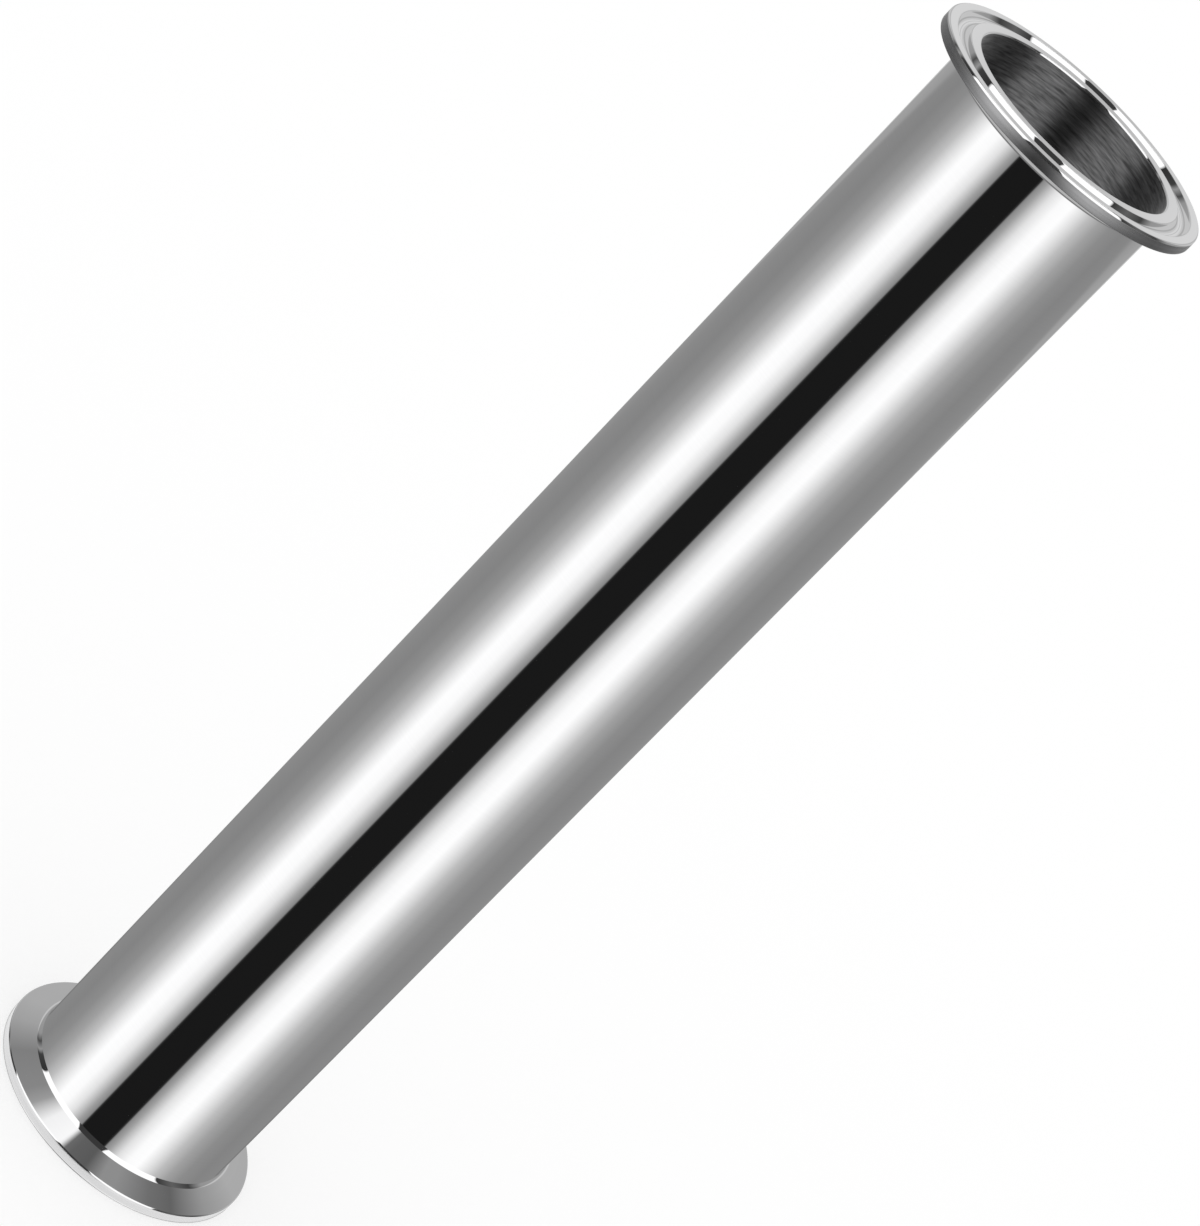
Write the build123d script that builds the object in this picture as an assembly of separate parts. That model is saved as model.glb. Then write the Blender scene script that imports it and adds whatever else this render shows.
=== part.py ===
"""Sanitary spool pipe: a polished stainless tube with a clamp ferrule welded on each end.

Millimetres, +Z up. The pipe stands on its lower clamp face: the origin is the centre of that
face and the pipe's own axis is +Z.

Three pieces are joined for life by two butt welds that are ground flush and polished out, so
the joints are plain planes where the ends meet:
    lower_ferrule   turned clamp ferrule, face down at Z = 0
    tube            drawn tube between the two welds
    upper_ferrule   the same ferrule turned over, face up at Z = SPOOL_LENGTH
"""

from build123d import *
from math import radians, tan
import os

# ---- driving dimensions: a 2 inch line, 12 inches face to face ----
SPOOL_LENGTH = 304.8        # clamp face to clamp face
TUBE_OD = 50.8              # 2 inch tube
TUBE_WALL = 1.65            # 16 gauge
FERRULE_LENGTH = 12.7       # clamp face to weld, a short weld ferrule

# ---- clamp flange ----
FLANGE_OD = 63.9
RIM_THICKNESS = 2.55        # clamp face to the back slope's sharp corner, at the rim
BACK_SLOPE = 20.0           # degrees off square: the wedge that the clamp's jaws pull on
RIM_FRONT_RADIUS = 0.5
RIM_BACK_RADIUS = 0.35
NECK_RADIUS = 1.3           # hollow corner between the back slope and the neck

# ---- gasket groove and bore mouth ----
GROOVE_DIAMETER = 56.0      # middle of the groove
GROOVE_WIDTH = 3.2          # between its sharp edges
GROOVE_DEPTH = 1.3
GROOVE_LIP_RADIUS = 0.35    # rounding of both groove edges
MOUTH_RADIUS = 0.35         # rounding where the bore meets the clamp face

# ---- worked out from the above ----
TUBE_RADIUS = TUBE_OD / 2
BORE_RADIUS = TUBE_RADIUS - TUBE_WALL
FLANGE_RADIUS = FLANGE_OD / 2
GROOVE_RADIUS = GROOVE_DIAMETER / 2
TUBE_LENGTH = SPOOL_LENGTH - 2 * FERRULE_LENGTH
SLOPE_RISE = (FLANGE_RADIUS - TUBE_RADIUS) * tan(radians(BACK_SLOPE))
NECK_START = RIM_THICKNESS + SLOPE_RISE
GROOVE_ARC = ((GROOVE_WIDTH / 2) ** 2 + GROOVE_DEPTH**2) / (2 * GROOVE_DEPTH)
GROOVE_CENTRE = GROOVE_DEPTH - GROOVE_ARC


def corners_at(profile, places):
    """The corners of a flat profile in the XZ plane that lie at the given (radius, height) places."""
    nearest = []
    for radius, height in places:
        spot = Vector(radius, 0, height)
        nearest.append(min(profile.vertices(), key=lambda v: (Vector(*v) - spot).length))
    return nearest


def ferrule_profile():
    """Half section of the ferrule in the XZ plane, with its clamp face on Z = 0."""
    outline = Polyline(
        (BORE_RADIUS, 0, 0),
        (FLANGE_RADIUS, 0, 0),
        (FLANGE_RADIUS, 0, RIM_THICKNESS),
        (TUBE_RADIUS, 0, NECK_START),
        (TUBE_RADIUS, 0, FERRULE_LENGTH),
        (BORE_RADIUS, 0, FERRULE_LENGTH),
        close=True,
    )
    blank = make_face(outline)
    groove_place = Plane(origin=(GROOVE_RADIUS, 0, GROOVE_CENTRE), x_dir=(1, 0, 0), z_dir=(0, -1, 0))
    return blank - groove_place * Circle(GROOVE_ARC)


def rounded(profile):
    """Every corner of the half section rounded to its own radius; the weld end stays square."""
    half_groove = GROOVE_WIDTH / 2
    groove_lips = [(GROOVE_RADIUS - half_groove, 0), (GROOVE_RADIUS + half_groove, 0)]
    roundings = [
        ([(FLANGE_RADIUS, 0)], RIM_FRONT_RADIUS),
        ([(FLANGE_RADIUS, RIM_THICKNESS)], RIM_BACK_RADIUS),
        ([(TUBE_RADIUS, NECK_START)], NECK_RADIUS),
        (groove_lips, GROOVE_LIP_RADIUS),
        ([(BORE_RADIUS, 0)], MOUTH_RADIUS),
    ]
    for places, radius in roundings:
        profile = fillet(corners_at(profile, places), radius)
    return profile


def make_ferrule():
    """Clamp ferrule, turned all over: its clamp face is on Z = 0 and its neck points up."""
    return revolve(rounded(ferrule_profile()), Axis.Z)


def make_tube():
    """Drawn tube, square cut at both ends, between the two welds."""
    wall = Circle(TUBE_RADIUS) - Circle(BORE_RADIUS)
    return Pos(0, 0, FERRULE_LENGTH) * extrude(wall, TUBE_LENGTH)


def main():
    """Builds the three pieces and writes one STEP file for each."""
    ferrule = make_ferrule()
    turned_over = Pos(0, 0, SPOOL_LENGTH) * Rot(180, 0, 0)
    pieces = {
        "lower_ferrule": ferrule,
        "tube": make_tube(),
        "upper_ferrule": turned_over * ferrule,
    }
    os.makedirs("parts", exist_ok=True)
    for name, piece in pieces.items():
        piece.label = name
        export_step(piece, f"parts/{name}.step")
        print(name, "volume mm3", round(piece.volume, 1))


main()
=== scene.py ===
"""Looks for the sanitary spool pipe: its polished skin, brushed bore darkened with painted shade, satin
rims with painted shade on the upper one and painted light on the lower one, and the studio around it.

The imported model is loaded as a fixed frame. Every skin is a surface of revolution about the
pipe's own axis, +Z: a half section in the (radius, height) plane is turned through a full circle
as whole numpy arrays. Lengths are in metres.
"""

from __future__ import annotations

import logging
import math
from dataclasses import dataclass, field
from enum import Enum

import bpy
import numpy as np
from mathutils import Matrix, Vector


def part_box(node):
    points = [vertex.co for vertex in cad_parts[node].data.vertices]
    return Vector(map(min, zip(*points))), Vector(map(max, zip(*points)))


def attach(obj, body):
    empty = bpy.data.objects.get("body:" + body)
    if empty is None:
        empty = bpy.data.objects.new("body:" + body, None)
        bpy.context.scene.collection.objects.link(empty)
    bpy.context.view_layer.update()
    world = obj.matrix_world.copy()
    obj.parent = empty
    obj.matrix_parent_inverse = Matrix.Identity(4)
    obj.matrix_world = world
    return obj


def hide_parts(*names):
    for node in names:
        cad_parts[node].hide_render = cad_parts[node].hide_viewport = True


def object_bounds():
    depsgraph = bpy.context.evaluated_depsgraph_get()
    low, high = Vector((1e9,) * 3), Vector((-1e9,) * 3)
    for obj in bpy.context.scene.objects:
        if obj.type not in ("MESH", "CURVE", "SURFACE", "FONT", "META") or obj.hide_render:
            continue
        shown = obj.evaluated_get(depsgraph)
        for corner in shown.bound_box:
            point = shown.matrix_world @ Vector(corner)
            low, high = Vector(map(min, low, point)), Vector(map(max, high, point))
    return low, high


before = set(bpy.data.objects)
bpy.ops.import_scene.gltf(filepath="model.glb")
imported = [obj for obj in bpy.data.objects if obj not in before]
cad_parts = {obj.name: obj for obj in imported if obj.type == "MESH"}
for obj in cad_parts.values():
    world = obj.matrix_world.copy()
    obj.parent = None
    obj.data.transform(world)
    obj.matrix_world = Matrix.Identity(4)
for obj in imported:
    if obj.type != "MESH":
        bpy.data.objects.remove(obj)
CAD_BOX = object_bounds()

MM = 0.001
TURN_STEPS = 384
CAMERA_DISTANCE = 2.6087  # in pipe lengths, as is the camera's height
CAMERA_HEIGHT = 1.6946
FLOOR_SPREAD = 40  # half the floor's width, in pipe lengths
log = logging.getLogger("spool")


# --------------------------------------------------------------------------- half sections


class Skin(Enum):
    """Which finish a stretch of the half section wears; the value is its material's place. The bore and
    the upper rim wear painted shade in their colour, and the lower rim painted light.
    """

    POLISHED = 0
    # The bore's colour is darkened with painted shade, for the shade inside the pipe.
    BRUSHED = 1
    # The two rims are one steel: painted shade darkens the upper rim and painted light brightens the
    # lower.
    RIM_PAINTED_SHADE = 2
    RIM_PAINTED_LIGHT = 3


@dataclass
class HalfSection:
    """A closed outline in the (radius, height) plane, walked with the metal on its left.

    It is kept as short steps, each with the outward normal at both of its ends, so that a
    straight flank stays flat and a rounded edge stays smooth however coarse its steps are.
    """

    starts: list[np.ndarray] = field(default_factory=list)
    ends: list[np.ndarray] = field(default_factory=list)
    start_normals: list[np.ndarray] = field(default_factory=list)
    end_normals: list[np.ndarray] = field(default_factory=list)
    skins: list[np.ndarray] = field(default_factory=list)

    def _add(self, points: np.ndarray, normals: np.ndarray, skin: Skin) -> None:
        """Adds a run of points (n, 2) with a normal at each of them."""
        self.starts.append(points[:-1])
        self.ends.append(points[1:])
        self.start_normals.append(normals[:-1])
        self.end_normals.append(normals[1:])
        self.skins.append(np.full(len(points) - 1, skin.value))

    def line(
        self, start: tuple[float, float], end: tuple[float, float], skin: Skin, steps: int = 1
    ) -> None:
        """Adds a straight flank, cut into equal steps.

        The point at share t is start + t (end - start), and the normal is the direction of
        travel turned a quarter turn to the right.

        Args:
            start: radius and height where it begins.
            end: radius and height where it ends.
            skin: the finish it wears.
            steps: how many equal steps it is cut into.
        """
        a, b = np.array(start), np.array(end)
        share = np.linspace(0.0, 1.0, steps + 1)[:, None]
        along = (b - a) / np.linalg.norm(b - a)
        outward = np.array([along[1], -along[0]])
        self._add(a + share * (b - a), np.repeat(outward[None], steps + 1, 0), skin)

    def arc(
        self,
        centre: tuple[float, float],
        radius: float,
        degrees: tuple[float, float],
        skin: Skin,
        steps: int,
    ) -> None:
        """Adds a round stretch: centre + radius (cos a, sin a) as a runs between two angles.

        Angles that grow make a rounded edge, whose normal points away from the centre, and
        angles that shrink make a hollow, whose normal points at the centre.

        Args:
            centre: radius and height of the arc's centre.
            radius: the arc's own radius.
            degrees: first and last angle.
            skin: the finish it wears.
            steps: how many equal steps it is cut into.
        """
        angle = np.radians(np.linspace(*degrees, steps + 1))
        spoke = np.stack([np.cos(angle), np.sin(angle)], 1)
        side = 1.0 if degrees[1] > degrees[0] else -1.0
        self._add(np.array(centre) + radius * spoke, side * spoke, skin)

    def turned(self, name: str, turn_over_at: float | None = None) -> bpy.types.Object:
        """Turns the half section through a full circle about Z.

        With r and z read along the section and a going round, the surface is
        (r cos a, r sin a, z). Turned over, it is (r cos a, -r sin a, top - z), which is a half
        turn about X and keeps its faces pointing outwards.

        Args:
            name: the new object's name.
            turn_over_at: where the plane that was height 0 goes when the piece is turned over.

        Returns:
            A mesh object at the origin with its own normals.
        """
        starts, ends = np.concatenate(self.starts), np.concatenate(self.ends)
        normals = np.stack([np.concatenate(self.start_normals), np.concatenate(self.end_normals)], 1)
        rings = len(starts)
        angle = np.arange(TURN_STEPS) * (2 * math.pi / TURN_STEPS)
        cos, sin = np.cos(angle), np.sin(angle)

        radius, height = starts.T
        level = np.outer(height, np.ones_like(cos))
        points = np.stack([np.outer(radius, cos), np.outer(radius, sin), level], -1)
        ring, step = np.meshgrid(np.arange(rings), np.arange(TURN_STEPS), indexing="ij")
        next_ring, next_step = (ring + 1) % rings, (step + 1) % TURN_STEPS
        corner_rings = np.stack([ring, ring, next_ring, next_ring], -1)
        corner_steps = np.stack([step, next_step, next_step, step], -1)
        faces = (corner_rings * TURN_STEPS + corner_steps).reshape(-1, 4)

        at_corners = normals[:, [0, 0, 1, 1], :][:, None]
        spin = angle[corner_steps]
        radial, upward = at_corners[..., 0], np.broadcast_to(at_corners[..., 1], spin.shape)
        loop_normals = np.stack([radial * np.cos(spin), radial * np.sin(spin), upward], -1).reshape(-1, 3)
        points = points.reshape(-1, 3)
        if turn_over_at is not None:
            points = points * [1, -1, -1] + [0, 0, turn_over_at]
            loop_normals = loop_normals * [1, -1, -1]
        return self._meshed(name, points, faces, loop_normals)

    def _meshed(
        self, name: str, points: np.ndarray, faces: np.ndarray, loop_normals: np.ndarray
    ) -> bpy.types.Object:
        """Makes the object from whole arrays.

        Args:
            name: the new object's name.
            points: the vertices, (n, 3).
            faces: the four vertices of each face, (m, 4).
            loop_normals: the normal at each corner of each face, (4 m, 3).

        Returns:
            The object, linked into the scene.
        """
        skins = np.repeat(np.concatenate(self.skins), TURN_STEPS)
        mesh = bpy.data.meshes.new(name)
        mesh.vertices.add(len(points))
        mesh.vertices.foreach_set("co", points.astype(np.float32).ravel())
        mesh.loops.add(faces.size)
        mesh.loops.foreach_set("vertex_index", faces.astype(np.int32).ravel())
        mesh.polygons.add(len(faces))
        mesh.polygons.foreach_set("loop_start", np.arange(0, faces.size, 4, dtype=np.int32))
        mesh.polygons.foreach_set("material_index", skins.astype(np.int32))
        mesh.update(calc_edges=True)
        mesh.validate()
        mesh.polygons.foreach_set("use_smooth", np.ones(len(faces), bool))
        mesh.normals_split_custom_set(loop_normals.tolist())
        piece = bpy.data.objects.new(name, mesh)
        bpy.context.scene.collection.objects.link(piece)
        return piece


# --------------------------------------------------------------------------- node sums


@dataclass(frozen=True)
class Stop:
    """One stop of a brightness ramp round the pipe: degrees from the front, and linear grey."""

    degrees: float
    grey: float


def both_sides(stops: list[Stop]) -> list[Stop]:
    """Mirrors stops given for the right-hand side onto the left, in rising order."""
    return [Stop(-s.degrees, s.grey) for s in reversed(stops)] + stops


class Sheet:
    """Shorthand for laying out a node tree of sums, noises and mixes."""

    RAMP_SPAN = 180.0  # degrees, from -90 to 90
    NOISE_SPAN = (0.3, 0.7)  # nearly all of a noise lies between these

    def __init__(self, tree: bpy.types.NodeTree) -> None:
        """Keeps the tree that the nodes go into."""
        self.tree = tree

    def new(self, kind: str) -> bpy.types.Node:
        """Adds a node of one kind."""
        return self.tree.nodes.new(kind)

    def link(self, value: bpy.types.NodeSocket | float, socket: bpy.types.NodeSocket) -> None:
        """Feeds a socket from another one, or sets its number."""
        if isinstance(value, (int, float)):
            socket.default_value = value
        else:
            self.tree.links.new(value, socket)

    def sum(self, operation: str, *values: bpy.types.NodeSocket | float) -> bpy.types.NodeSocket:
        """Adds one Math node and returns what it works out."""
        node = self.new("ShaderNodeMath")
        node.operation = operation
        for value, socket in zip(values, node.inputs):
            self.link(value, socket)
        return node.outputs[0]

    def product(self, first: bpy.types.NodeSocket, *others: bpy.types.NodeSocket) -> bpy.types.NodeSocket:
        """Multiplies all the values together, in their order."""
        for other in others:
            first = self.sum("MULTIPLY", first, other)
        return first

    def length(self, a: bpy.types.NodeSocket, b: bpy.types.NodeSocket) -> bpy.types.NodeSocket:
        """Works out the square root of a squared and b squared together."""
        return self.sum("SQRT", self.sum("ADD", self.product(a, a), self.product(b, b)))

    def step(self, value: bpy.types.NodeSocket, low: float, high: float) -> bpy.types.NodeSocket:
        """Goes smoothly from 0 to 1 as the value goes from low to high, which may lie below low."""
        node = self.new("ShaderNodeMapRange")
        node.interpolation_type = "SMOOTHSTEP"
        self.link(value, node.inputs["Value"])
        node.inputs["From Min"].default_value = low
        node.inputs["From Max"].default_value = high
        return node.outputs["Result"]

    def noise(
        self, place: bpy.types.NodeSocket, scale: float, detail: float, roughness: float
    ) -> bpy.types.NodeSocket:
        """Adds a noise and returns its height."""
        node = self.new("ShaderNodeTexNoise")
        self.link(place, node.inputs["Vector"])
        node.inputs["Scale"].default_value = scale
        node.inputs["Detail"].default_value = detail
        node.inputs["Roughness"].default_value = roughness
        return node.outputs["Fac"]

    def spread(self, noise: bpy.types.NodeSocket, low: float, high: float) -> bpy.types.NodeSocket:
        """Stretches a noise so that it runs from low to high."""
        node = self.new("ShaderNodeMapRange")
        self.link(noise, node.inputs["Value"])
        node.inputs["From Min"].default_value, node.inputs["From Max"].default_value = self.NOISE_SPAN
        node.inputs["To Min"].default_value = low
        node.inputs["To Max"].default_value = high
        return node.outputs["Result"]

    def mixed(
        self, share: bpy.types.NodeSocket, a: bpy.types.NodeSocket | float, b: bpy.types.NodeSocket | float
    ) -> bpy.types.NodeSocket:
        """Mixes two numbers: a at share 0 and b at share 1."""
        node = self.new("ShaderNodeMix")
        self.link(share, node.inputs["Factor"])
        self.link(a, node.inputs["A"])
        self.link(b, node.inputs["B"])
        return node.outputs["Result"]

    def shaded(
        self, share: bpy.types.NodeSocket, a: bpy.types.NodeSocket, b: bpy.types.NodeSocket
    ) -> bpy.types.NodeSocket:
        """Mixes two shaders: a at share 0 and b at share 1."""
        node = self.new("ShaderNodeMixShader")
        self.link(share, node.inputs["Fac"])
        self.link(a, node.inputs[1])
        self.link(b, node.inputs[2])
        return node.outputs[0]

    def ramp(self, degrees: bpy.types.NodeSocket, stops: list[Stop]) -> bpy.types.NodeSocket:
        """Reads a grey off a ramp of stops between -90 and 90 degrees."""
        share = self.sum("ADD", self.sum("DIVIDE", degrees, self.RAMP_SPAN), 0.5)
        node = self.new("ShaderNodeValToRGB")
        elements = node.color_ramp.elements
        while len(elements) < len(stops):
            elements.new(0.5)
        for element, stop in zip(elements, sorted(stops, key=lambda s: s.degrees)):
            element.position = stop.degrees / self.RAMP_SPAN + 0.5
            element.color = (stop.grey, stop.grey, stop.grey, 1.0)
        self.link(share, node.inputs["Fac"])
        return node.outputs["Color"]


# --------------------------------------------------------------------------- finishes


@dataclass(frozen=True)
class Finish:
    """One finish of stainless steel, built from nodes on Object coordinates. The bore's colour and the
    upper rim's carry painted shade, and the lower rim's carries painted light.

    Lines left by polishing or turning run round the pipe, so the pattern is a noise squeezed
    along Z: fine from line to line, and slow on the way round. Clouds of a larger noise let
    the polish come and go.
    """

    name: str
    colour: tuple[float, float, float]
    roughness: float
    roughness_spread: float
    lines_per_metre: float
    line_contrast: float
    anisotropy: float = 0.0
    line_depth: float = 0.0
    streaks_per_metre: float = 14.0
    line_detail: float = 3.0
    line_roughness: float = 0.65
    light_share: float = 0.4
    clouds_per_metre: float = 42.0
    cloud_detail: float = 2.0
    cloud_roughness: float = 0.5
    quarter_turn: float = 0.25

    def made(self) -> bpy.types.Material:
        """Builds the material.

        Returns:
            A Principled metal whose colour and bump follow the lines, and its roughness the clouds.
        """
        material = bpy.data.materials.new(self.name)
        material.use_nodes = True
        sheet = Sheet(material.node_tree)
        steel = material.node_tree.nodes["Principled BSDF"]
        steel.inputs["Metallic"].default_value = 1.0
        place = sheet.new("ShaderNodeTexCoord").outputs["Object"]
        lines = self._lines(sheet, place)
        self._tint(sheet, lines, steel)

        clouds = sheet.noise(place, self.clouds_per_metre, self.cloud_detail, self.cloud_roughness)
        smoothest = max(0.0, self.roughness - self.roughness_spread)
        haze = sheet.spread(clouds, smoothest, self.roughness + self.roughness_spread)
        sheet.link(haze, steel.inputs["Roughness"])
        if self.anisotropy > 0:
            self._brush(sheet, steel)
        if self.line_depth > 0:
            grooves = sheet.new("ShaderNodeBump")
            grooves.inputs["Distance"].default_value = self.line_depth
            sheet.link(lines, grooves.inputs["Height"])
            sheet.link(grooves.outputs["Normal"], steel.inputs["Normal"])
        return material

    def _lines(self, sheet: Sheet, place: bpy.types.NodeSocket) -> bpy.types.NodeSocket:
        """Lays fine lines round the pipe: a noise squeezed along Z by lines_per_metre."""
        squeeze = sheet.new("ShaderNodeMapping")
        squeeze.inputs["Scale"].default_value = (
            self.streaks_per_metre,
            self.streaks_per_metre,
            self.lines_per_metre,
        )
        sheet.link(place, squeeze.inputs["Vector"])
        return sheet.noise(squeeze.outputs["Vector"], 1.0, self.line_detail, self.line_roughness)

    def _tint(self, sheet: Sheet, lines: bpy.types.NodeSocket, steel: bpy.types.Node) -> None:
        """Darkens the colour in the lines by line_contrast, and lightens it by a share of that."""
        tone = sheet.spread(lines, 1.0 - self.line_contrast, 1.0 + self.line_contrast * self.light_share)
        tinted = sheet.new("ShaderNodeVectorMath")
        tinted.operation = "SCALE"
        tinted.inputs[0].default_value = self.colour
        sheet.link(tone, tinted.inputs["Scale"])
        sheet.link(tinted.outputs["Vector"], steel.inputs["Base Color"])

    def _brush(self, sheet: Sheet, steel: bpy.types.Node) -> None:
        """Draws highlights out along the pipe, across lines that were brushed round it."""
        steel.inputs["Anisotropic"].default_value = self.anisotropy
        steel.inputs["Anisotropic Rotation"].default_value = self.quarter_turn
        round_the_pipe = sheet.new("ShaderNodeTangent")
        round_the_pipe.direction_type = "RADIAL"
        round_the_pipe.axis = "Z"
        sheet.link(round_the_pipe.outputs["Tangent"], steel.inputs["Tangent"])


POLISHED_STEEL = Finish(
    name="polished_steel",
    colour=(0.95, 0.95, 0.955),
    roughness=0.02,
    roughness_spread=0.012,
    lines_per_metre=2200.0,
    line_contrast=0.012,
)
BORE_BRUSHED_PAINTED_SHADE = Finish(
    name="bore_brushed_painted_shade",
    # Painted shade: this colour is darkened to stand for the shade inside the bore.
    colour=(0.175, 0.175, 0.177),
    roughness=0.46,
    roughness_spread=0.02,
    lines_per_metre=1900.0,
    line_contrast=0.6,
    anisotropy=0.9,
    line_depth=0.004 * MM,
    streaks_per_metre=190.0,
    line_detail=2.0,
)
RIM_PAINTED_SHADE = Finish(
    name="rim_painted_shade",
    # Painted shade: this colour is darkened to stand for the shade on the upper rim and its back edge.
    colour=(0.38, 0.38, 0.385),
    roughness=0.27,
    roughness_spread=0.03,
    lines_per_metre=900.0,
    line_contrast=0.25,
)
RIM_PAINTED_LIGHT = Finish(
    name="rim_painted_light",
    # Painted light: this colour is lightened to stand for the light on the lower rim; both rims are the
    # same steel.
    colour=(0.8, 0.8, 0.805),
    roughness=0.2,
    roughness_spread=0.03,
    lines_per_metre=900.0,
    line_contrast=0.1,
)


class Finishes:
    """The finishes of the pipe, built once and shared by its pieces."""

    def __init__(self) -> None:
        """Builds the materials."""
        self.by_skin = {
            Skin.POLISHED: POLISHED_STEEL.made(),
            Skin.BRUSHED: BORE_BRUSHED_PAINTED_SHADE.made(),
            Skin.RIM_PAINTED_SHADE: RIM_PAINTED_SHADE.made(),
            Skin.RIM_PAINTED_LIGHT: RIM_PAINTED_LIGHT.made(),
        }

    def dress(self, piece: bpy.types.Object) -> None:
        """Puts the finishes on a piece, each in the material place that its skin names."""
        for skin in Skin:
            piece.data.materials.append(self.by_skin[skin])


# --------------------------------------------------------------------------- pieces


@dataclass
class Ferrule:
    """A clamp ferrule: flat face with a gasket groove, rim, sloped back, neck and open bore.

    The outer sizes come from the frame, and the section's own sizes are those of the part.
    """

    node: str
    flange_radius: float
    tube_radius: float
    bore_radius: float
    length: float
    rim_skin: Skin
    back_edge_skin: Skin
    rim_thickness: float = 2.55 * MM
    back_slope: float = 20.0
    front_radius: float = 0.5 * MM
    back_radius: float = 0.35 * MM
    neck_radius: float = 1.3 * MM
    groove_radius: float = 28.0 * MM
    groove_width: float = 3.2 * MM
    groove_depth: float = 1.3 * MM
    lip_radius: float = 0.35 * MM
    mouth_radius: float = 0.35 * MM

    def section(self) -> HalfSection:
        """Walks the half section from the bore's mouth out over the face, rim and back.

        Every edge's arc touches the flanks on both of its sides. A corner that turns through
        an angle t starts its rounding at radius * tan(t / 2) from the sharp corner. The groove
        is an arc as wide as groove_width at the face and groove_depth deep, and each lip's arc
        touches the face and the groove's arc from the metal's side.

        Returns:
            The closed outline, with the clamp face on height 0.
        """
        section = HalfSection()
        slope = math.radians(self.back_slope)
        rise, run = math.sin(slope), math.cos(slope)
        turn = 90.0 - self.back_slope
        cut = math.tan(math.radians(turn / 2))
        flange, neck, bore = self.flange_radius, self.tube_radius, self.bore_radius
        mouth, front = self.mouth_radius, self.front_radius

        section.arc((bore + mouth, mouth), mouth, (180, 270), Skin.POLISHED, 14)
        self._grooved_face(section, bore + mouth, flange - front)
        section.arc((flange - front, front), front, (270, 360), Skin.POLISHED, 14)

        back, back_cut = self.back_radius, self.back_radius * cut
        back_start = self.rim_thickness - back_cut
        section.line((flange, front), (flange, back_start), self.rim_skin, 2)
        section.arc((flange - back, back_start), back, (0, turn), self.back_edge_skin, 12)

        fillet, fillet_cut = self.neck_radius, self.neck_radius * cut
        slope_start = (flange - run * back_cut, self.rim_thickness + rise * back_cut)
        neck_corner = self.rim_thickness + (flange - neck) * rise / run
        slope_end = (neck + run * fillet_cut, neck_corner - rise * fillet_cut)
        neck_start = neck_corner + fillet_cut
        section.line(slope_start, slope_end, Skin.POLISHED, 3)
        section.arc((neck + fillet, neck_start), fillet, (180 + turn, 180), Skin.POLISHED, 16)
        section.line((neck, neck_start), (neck, self.length), Skin.POLISHED, 3)
        section.line((neck, self.length), (bore, self.length), Skin.POLISHED)
        section.line((bore, self.length), (bore, mouth), Skin.BRUSHED, 6)
        return section

    def _grooved_face(self, section: HalfSection, inner: float, outer: float) -> None:
        """Adds the clamp face from its inner to its outer edge, with the gasket groove in it."""
        half, depth = self.groove_width / 2, self.groove_depth
        lip, middle = self.lip_radius, self.groove_radius
        arc = (half**2 + depth**2) / (2 * depth)
        centre = depth - arc
        reach = math.sqrt((arc + lip) ** 2 - (lip - centre) ** 2)
        lean = math.degrees(math.atan2(lip - centre, reach))
        section.line((inner, 0), (middle - reach, 0), Skin.POLISHED, 2)
        section.arc((middle - reach, lip), lip, (270, 360 - lean), Skin.POLISHED, 8)
        section.arc((middle, centre), arc, (180 - lean, lean), Skin.POLISHED, 32)
        section.arc((middle + reach, lip), lip, (180 + lean, 270), Skin.POLISHED, 8)
        section.line((middle + reach, 0), (outer, 0), Skin.POLISHED, 2)

    def build(self, finishes: Finishes, turn_over_at: float | None = None) -> bpy.types.Object:
        """Builds the ferrule's skin in place of its CAD node.

        Args:
            finishes: the materials to wear.
            turn_over_at: the height of its clamp face, where it faces up.

        Returns:
            The piece, riding on the pipe's body.
        """
        piece = self.section().turned(self.node + "_skin", turn_over_at)
        finishes.dress(piece)
        return mounted(piece, self.node)


@dataclass
class Tube:
    """The drawn tube between the two welds, mirror polished outside, and brushed inside with painted shade
    darkening its colour.
    """

    node: str
    tube_radius: float
    bore_radius: float
    bottom: float
    top: float

    def section(self) -> HalfSection:
        """Walks the wall's rectangle: up the outside, in over the top, down the bore and out."""
        outer, bore = self.tube_radius, self.bore_radius
        section = HalfSection()
        section.line((outer, self.bottom), (outer, self.top), Skin.POLISHED, 40)
        section.line((outer, self.top), (bore, self.top), Skin.POLISHED)
        section.line((bore, self.top), (bore, self.bottom), Skin.BRUSHED, 40)
        section.line((bore, self.bottom), (outer, self.bottom), Skin.POLISHED)
        return section

    def build(self, finishes: Finishes) -> bpy.types.Object:
        """Builds the tube's skin in place of its CAD node, riding on the pipe's body."""
        piece = self.section().turned(self.node + "_skin")
        finishes.dress(piece)
        return mounted(piece, self.node)


def mounted(piece: bpy.types.Object, node: str) -> bpy.types.Object:
    """Lets a piece ride on the pipe's one body and stand for its CAD node.

    Mirrored rays pass it by, so that the metal shows the studio and never its own other parts.
    """
    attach(piece, "root")
    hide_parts(node)
    piece.visible_glossy = False
    return piece


# --------------------------------------------------------------------------- studio


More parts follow.
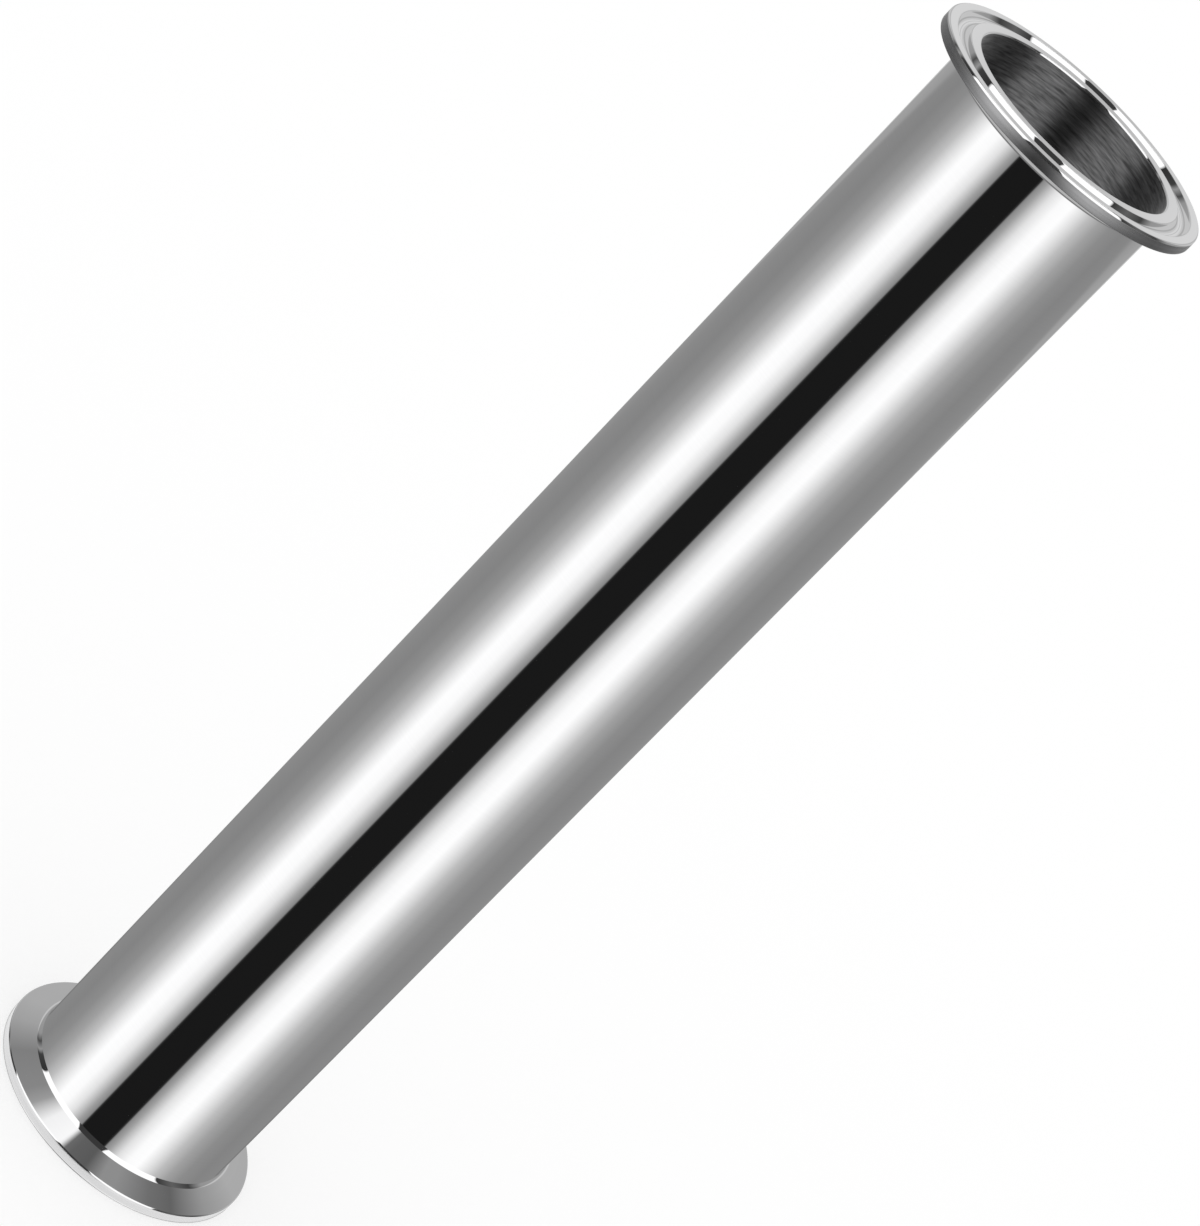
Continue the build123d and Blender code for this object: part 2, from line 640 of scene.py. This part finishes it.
@dataclass
class Studio:
    """White room for a polished pipe: a narrow black card in front with a light on each side.

    A reflected ray that leaves in the direction (x, y, z) was turned there by metal whose
    normal is that direction less the camera's own forward look, (0, look_y, look_z). The
    normal's turn from the front and its tilt from the level are
        turn = atan2(x, look_y - y),
        tilt = atan2(z - look_z, length of (x, y - look_y)),
    so one band of the room serves the upright walls, another the rounded edges, and another
    the sloped backs, each with greys that run by turn. High up the room is open and plain, low
    down it is dark, and a wall and a strip stand behind the pipe.

    Angles are in degrees. A pair of tilts, or of shares of x, y or z, is where a soft step starts
    and where it ends. foot_ring is the inner and outer radius of the bright ring on the floor,
    foot_fades is how softly each begins, and foot_reach is how far off metal still sees it.
    """

    look_y: float = 0.93
    look_z: float = -0.37
    wall_ramp: list[Stop] = field(
        default_factory=lambda: both_sides(
            [
                Stop(7.0, 0.010),
                Stop(7.4, 0.24),
                Stop(10.0, 0.37),
                Stop(15.0, 0.80),
                Stop(20.0, 1.02),
                Stop(25.0, 1.05),
                Stop(30.0, 0.80),
                Stop(35.0, 0.54),
                Stop(41.0, 0.37),
                Stop(48.0, 0.275),
                Stop(57.0, 0.24),
                Stop(70.0, 0.26),
                Stop(83.0, 0.30),
            ]
        )
    )
    edge_ramp: list[Stop] = field(
        default_factory=lambda: [
            Stop(-80.0, 0.36),
            Stop(-62.0, 0.3),
            Stop(-57.0, 0.07),
            Stop(-52.0, 0.3),
            Stop(-49.0, 0.05),
            Stop(-39.2, 0.03),
            Stop(-38.2, 1.1),
            Stop(-8.4, 1.1),
            Stop(-7.8, 0.04),
            Stop(8.6, 0.04),
            Stop(9.2, 1.1),
            Stop(36.2, 1.1),
            Stop(37.2, 0.04),
            Stop(46.0, 0.12),
            Stop(56.0, 0.05),
            Stop(64.0, 0.3),
            Stop(80.0, 0.36),
        ]
    )
    slope_ramp: list[Stop] = field(
        default_factory=lambda: [
            Stop(-76.0, 0.42),
            Stop(-63.0, 0.37),
            Stop(-47.0, 0.22),
            Stop(-30.0, 0.25),
            Stop(-24.0, 0.34),
            Stop(-16.0, 0.93),
            Stop(-6.6, 1.0),
            Stop(-4.4, 0.15),
            Stop(-1.5, 0.12),
            Stop(5.3, 0.105),
            Stop(12.0, 0.28),
            Stop(17.6, 0.28),
            Stop(31.7, 0.165),
            Stop(42.0, 0.13),
            Stop(58.0, 0.31),
            Stop(76.0, 0.42),
        ]
    )
    under_grey: float = 0.18
    under_tilts: tuple[float, float] = (-26.0, -34.0)
    edge_tilts: tuple[float, float] = (6.5, 8.5)
    edge_narrowing: float = 0.007
    edge_level: float = 25.0
    edge_reach: float = 34.0
    slope_low_tilts: tuple[float, float] = (58.0, 60.0)
    slope_high_tilts: tuple[float, float] = (69.0, 67.0)
    open_grey: float = 0.56
    open_tilts: tuple[float, float] = (-3.0, 4.0)
    front_ceiling: tuple[float, float] = (0.45, 67.0)
    side_ceiling: tuple[float, float] = (-1.2, 129.0)
    strip_grey: float = 0.45
    strip_x: tuple[float, float] = (0.2, 0.04)
    strip_y: tuple[float, float] = (0.6, 0.8)
    strip_z: tuple[float, float] = (0.0, -0.1)
    back_greys: tuple[float, float] = (0.50, 0.68)
    back_grey_x: tuple[float, float] = (0.004, 0.036)
    back_x: tuple[float, float] = (0.18, 0.1)
    back_y: tuple[float, float] = (0.86, 0.91)
    back_z: tuple[float, float] = (0.0, 0.1)
    floor_white: float = 1.0
    floor_lift: float = 0.6
    floor_gap: float = 0.02 * MM
    foot_ring: tuple[float, float] = (32.5 * MM, 35.4 * MM)
    foot_fades: tuple[float, float] = (0.6 * MM, 0.1 * MM)
    foot_grey: float = 0.95
    foot_reach: float = 7.0 * MM

    def light(self) -> None:
        """Builds the world: the studio to metal, and plain white to everything else."""
        world = bpy.data.worlds.new("studio")
        bpy.context.scene.world = world
        world.use_nodes = True
        world.cycles.sampling_method = "NONE"
        sheet = Sheet(world.node_tree)
        split = sheet.new("ShaderNodeSeparateXYZ")
        sheet.link(sheet.new("ShaderNodeTexCoord").outputs["Generated"], split.inputs[0])
        x, y, z = split.outputs
        forward = sheet.sum("SUBTRACT", self.look_y, y)
        upward = sheet.sum("SUBTRACT", z, self.look_z)
        turn = sheet.sum("DEGREES", sheet.sum("ARCTAN2", x, forward))
        tilt = sheet.sum("DEGREES", sheet.sum("ARCTAN2", upward, sheet.length(x, forward)))
        studio = self._with_back(sheet, self._bands(sheet, turn, tilt), x, y, z)
        seen = sheet.mixed(sheet.new("ShaderNodeLightPath").outputs["Is Glossy Ray"], 1.0, studio)
        sheet.link(seen, world.node_tree.nodes["Background"].inputs["Color"])

    def _bands(
        self, sheet: Sheet, turn: bpy.types.NodeSocket, tilt: bpy.types.NodeSocket
    ) -> bpy.types.NodeSocket:
        """Lays out the greys by turn and tilt.

        The edges' ramp is read at turn * (1 + near * edge_narrowing * (tilt - edge_level)), where
        near = max(1 - |turn| / edge_reach, 0), so its middle narrows as the normal tilts up. The
        open part starts at the lower of two ceilings, each slope * |turn| + height.

        Args:
            sheet: the world's node tree.
            turn: the normal's turn from the front, in degrees.
            tilt: the normal's tilt from the level, in degrees.

        Returns:
            The grey seen there.
        """
        wall = sheet.ramp(turn, self.wall_ramp)
        sideways = sheet.sum("ABSOLUTE", turn)
        nearness = sheet.sum("SUBTRACT", 1.0, sheet.sum("DIVIDE", sideways, self.edge_reach))
        near = sheet.sum("MAXIMUM", nearness, 0.0)
        leaning = sheet.sum("MULTIPLY", sheet.sum("SUBTRACT", tilt, self.edge_level), self.edge_narrowing)
        narrowed = sheet.sum("MULTIPLY", turn, sheet.sum("MULTIPLY_ADD", near, leaning, 1.0))
        edge = sheet.ramp(narrowed, self.edge_ramp)
        upright = sheet.mixed(sheet.step(tilt, *self.under_tilts), wall, self.under_grey)
        sides = sheet.mixed(sheet.step(tilt, *self.edge_tilts), upright, edge)

        over_front = sheet.sum("MULTIPLY_ADD", sideways, *self.front_ceiling)
        over_sides = sheet.sum("MULTIPLY_ADD", sideways, *self.side_ceiling)
        above = sheet.sum("SUBTRACT", tilt, sheet.sum("MINIMUM", over_front, over_sides))
        opened = sheet.mixed(sheet.step(above, *self.open_tilts), sides, self.open_grey)
        on_slope = sheet.product(
            sheet.step(tilt, *self.slope_low_tilts), sheet.step(tilt, *self.slope_high_tilts)
        )
        return sheet.mixed(on_slope, opened, sheet.ramp(turn, self.slope_ramp))

    def _with_back(
        self,
        sheet: Sheet,
        lit: bpy.types.NodeSocket,
        x: bpy.types.NodeSocket,
        y: bpy.types.NodeSocket,
        z: bpy.types.NodeSocket,
    ) -> bpy.types.NodeSocket:
        """Lays what stands behind the pipe over the bands.

        A grey strip lies low down, and above it the wall that flat faces turned up mirror, which
        is lighter to both sides.

        Args:
            sheet: the world's node tree.
            lit: the grey of the bands.
            x: the ray's share to the right.
            y: its share away from the camera.
            z: its share upwards.

        Returns:
            The grey seen there.
        """
        aside = sheet.sum("ABSOLUTE", x)
        strip = sheet.product(
            sheet.step(aside, *self.strip_x), sheet.step(z, *self.strip_z), sheet.step(y, *self.strip_y)
        )
        faces_up = sheet.product(
            sheet.step(y, *self.back_y), sheet.step(z, *self.back_z), sheet.step(aside, *self.back_x)
        )
        behind = sheet.mixed(sheet.step(aside, *self.back_grey_x), *self.back_greys)
        return sheet.mixed(faces_up, sheet.mixed(strip, lit, self.strip_grey), behind)

    def floor(self, spread: float) -> bpy.types.Object:
        """Lays the white floor, which metal sees only as a bright ring close round the foot.

        It is clear from below, and lies a hair under the foot so that no two faces meet.

        Args:
            spread: half the floor's width.

        Returns:
            The floor.
        """
        mesh = bpy.data.meshes.new("floor")
        corners = [(-spread, -spread, 0), (spread, -spread, 0), (spread, spread, 0), (-spread, spread, 0)]
        mesh.from_pydata(corners, [], [(0, 1, 2, 3)])
        floor = bpy.data.objects.new("floor", mesh)
        floor.location.z = -self.floor_gap
        bpy.context.scene.collection.objects.link(floor)
        mesh.materials.append(self._floor_white())
        return floor

    def _floor_white(self) -> bpy.types.Material:
        """Matt white; to a glossy ray it is clear but for the bright ring, seen from close by."""
        material = bpy.data.materials.new("floor_white")
        material.use_nodes = True
        sheet = Sheet(material.node_tree)
        nodes = material.node_tree.nodes
        matt = nodes["Principled BSDF"]
        matt.inputs["Base Color"].default_value = (self.floor_white,) * 3 + (1.0,)
        matt.inputs["Roughness"].default_value = 1.0
        matt.inputs["Specular IOR Level"].default_value = 0.0

        split = sheet.new("ShaderNodeSeparateXYZ")
        sheet.link(sheet.new("ShaderNodeTexCoord").outputs["Object"], split.inputs[0])
        x, y, _ = split.outputs
        away = sheet.length(x, y)
        inner, outer = self.foot_ring
        inner_fade, outer_fade = self.foot_fades
        in_ring = sheet.product(
            sheet.step(away, inner - inner_fade, inner), sheet.step(away, outer, outer - outer_fade)
        )
        rays = sheet.new("ShaderNodeLightPath")
        close = sheet.sum("LESS_THAN", rays.outputs["Ray Length"], self.foot_reach)
        ring = sheet.new("ShaderNodeEmission")
        ring.inputs["Strength"].default_value = self.foot_grey
        clear = sheet.new("ShaderNodeBsdfTransparent").outputs[0]
        to_metal = sheet.shaded(sheet.product(in_ring, close), clear, ring.outputs[0])

        lift = sheet.sum("MULTIPLY", rays.outputs["Is Camera Ray"], self.floor_lift)
        lifted = sheet.shaded(lift, matt.outputs[0], sheet.new("ShaderNodeEmission").outputs[0])
        both = sheet.shaded(rays.outputs["Is Glossy Ray"], lifted, to_metal)
        below = sheet.new("ShaderNodeNewGeometry").outputs["Backfacing"]
        sheet.link(sheet.shaded(below, both, clear), nodes["Material Output"].inputs["Surface"])
        return material


@dataclass
class Camera:
    """A long lens in front of the pipe, rolled so that the pipe lies along the diagonal."""

    distance: float
    height: float
    look_down: float = 23.95
    roll: float = 44.11
    lens: float = 126.1
    sensor: float = 36.0

    def place(self) -> bpy.types.Object:
        """Sets the camera up at (0, -distance, height), looking along +Y and down.

        Its axes are the level right and up of that look, turned about it by the roll.
        """
        down, roll = math.radians(self.look_down), math.radians(self.roll)
        forward = Vector((0, math.cos(down), -math.sin(down)))
        level_right, level_up = Vector((1, 0, 0)), Vector((0, math.sin(down), math.cos(down)))
        right = level_right * math.cos(roll) + level_up * math.sin(roll)
        up = right.cross(forward)
        data = bpy.data.cameras.new("camera")
        data.lens = self.lens
        data.sensor_width = self.sensor
        camera = bpy.data.objects.new("camera", data)
        axes = Matrix((right, up, -forward)).transposed().to_4x4()
        axes.translation = Vector((0, -self.distance, self.height))
        camera.matrix_world = axes
        bpy.context.scene.collection.objects.link(camera)
        bpy.context.scene.camera = camera
        return camera


# --------------------------------------------------------------------------- the whole


class SpoolPipe:
    """The spool pipe: two ferrules and the tube between them, sized from the frame."""

    wall = 1.65 * MM

    def __init__(self) -> None:
        """Reads the outer sizes of the three pieces off their CAD boxes."""
        _, foot_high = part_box("lower_ferrule")
        _, tube_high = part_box("tube")
        _, self.top = (corner.z for corner in CAD_BOX)
        self.flange_radius = foot_high.x
        self.ferrule_length = foot_high.z
        self.tube_radius = tube_high.x
        self.tube_top = tube_high.z
        self.bore_radius = self.tube_radius - self.wall

    def build(self) -> list[bpy.types.Object]:
        """Builds and dresses the three pieces.

        Returns:
            The pieces, from the foot up.
        """
        finishes = Finishes()
        sizes = (self.flange_radius, self.tube_radius, self.bore_radius, self.ferrule_length)
        # Both ferrules are the same part; the lower rim wears painted light, and the upper rim and its
        # back edge wear painted shade.
        lower = Ferrule("lower_ferrule", *sizes, Skin.RIM_PAINTED_LIGHT, Skin.POLISHED)
        tube = Tube("tube", self.tube_radius, self.bore_radius, self.ferrule_length, self.tube_top)
        upper = Ferrule("upper_ferrule", *sizes, Skin.RIM_PAINTED_SHADE, Skin.RIM_PAINTED_SHADE)
        return [lower.build(finishes), tube.build(finishes), upper.build(finishes, turn_over_at=self.top)]


def main() -> None:
    """Sets the camera, builds the pipe and lights it."""
    logging.basicConfig(level=logging.INFO, format="%(name)s: %(message)s")
    scene = bpy.context.scene
    scene.view_settings.view_transform = "Standard"

    pipe = SpoolPipe()
    Camera(distance=CAMERA_DISTANCE * pipe.top, height=CAMERA_HEIGHT * pipe.top).place()
    for piece in pipe.build():
        log.info("%s: %d faces", piece.name, len(piece.data.polygons))

    studio = Studio()
    studio.light()
    studio.floor(spread=FLOOR_SPREAD * pipe.top)
    log.info("studio ready")


if __name__ == "__main__":
    main()
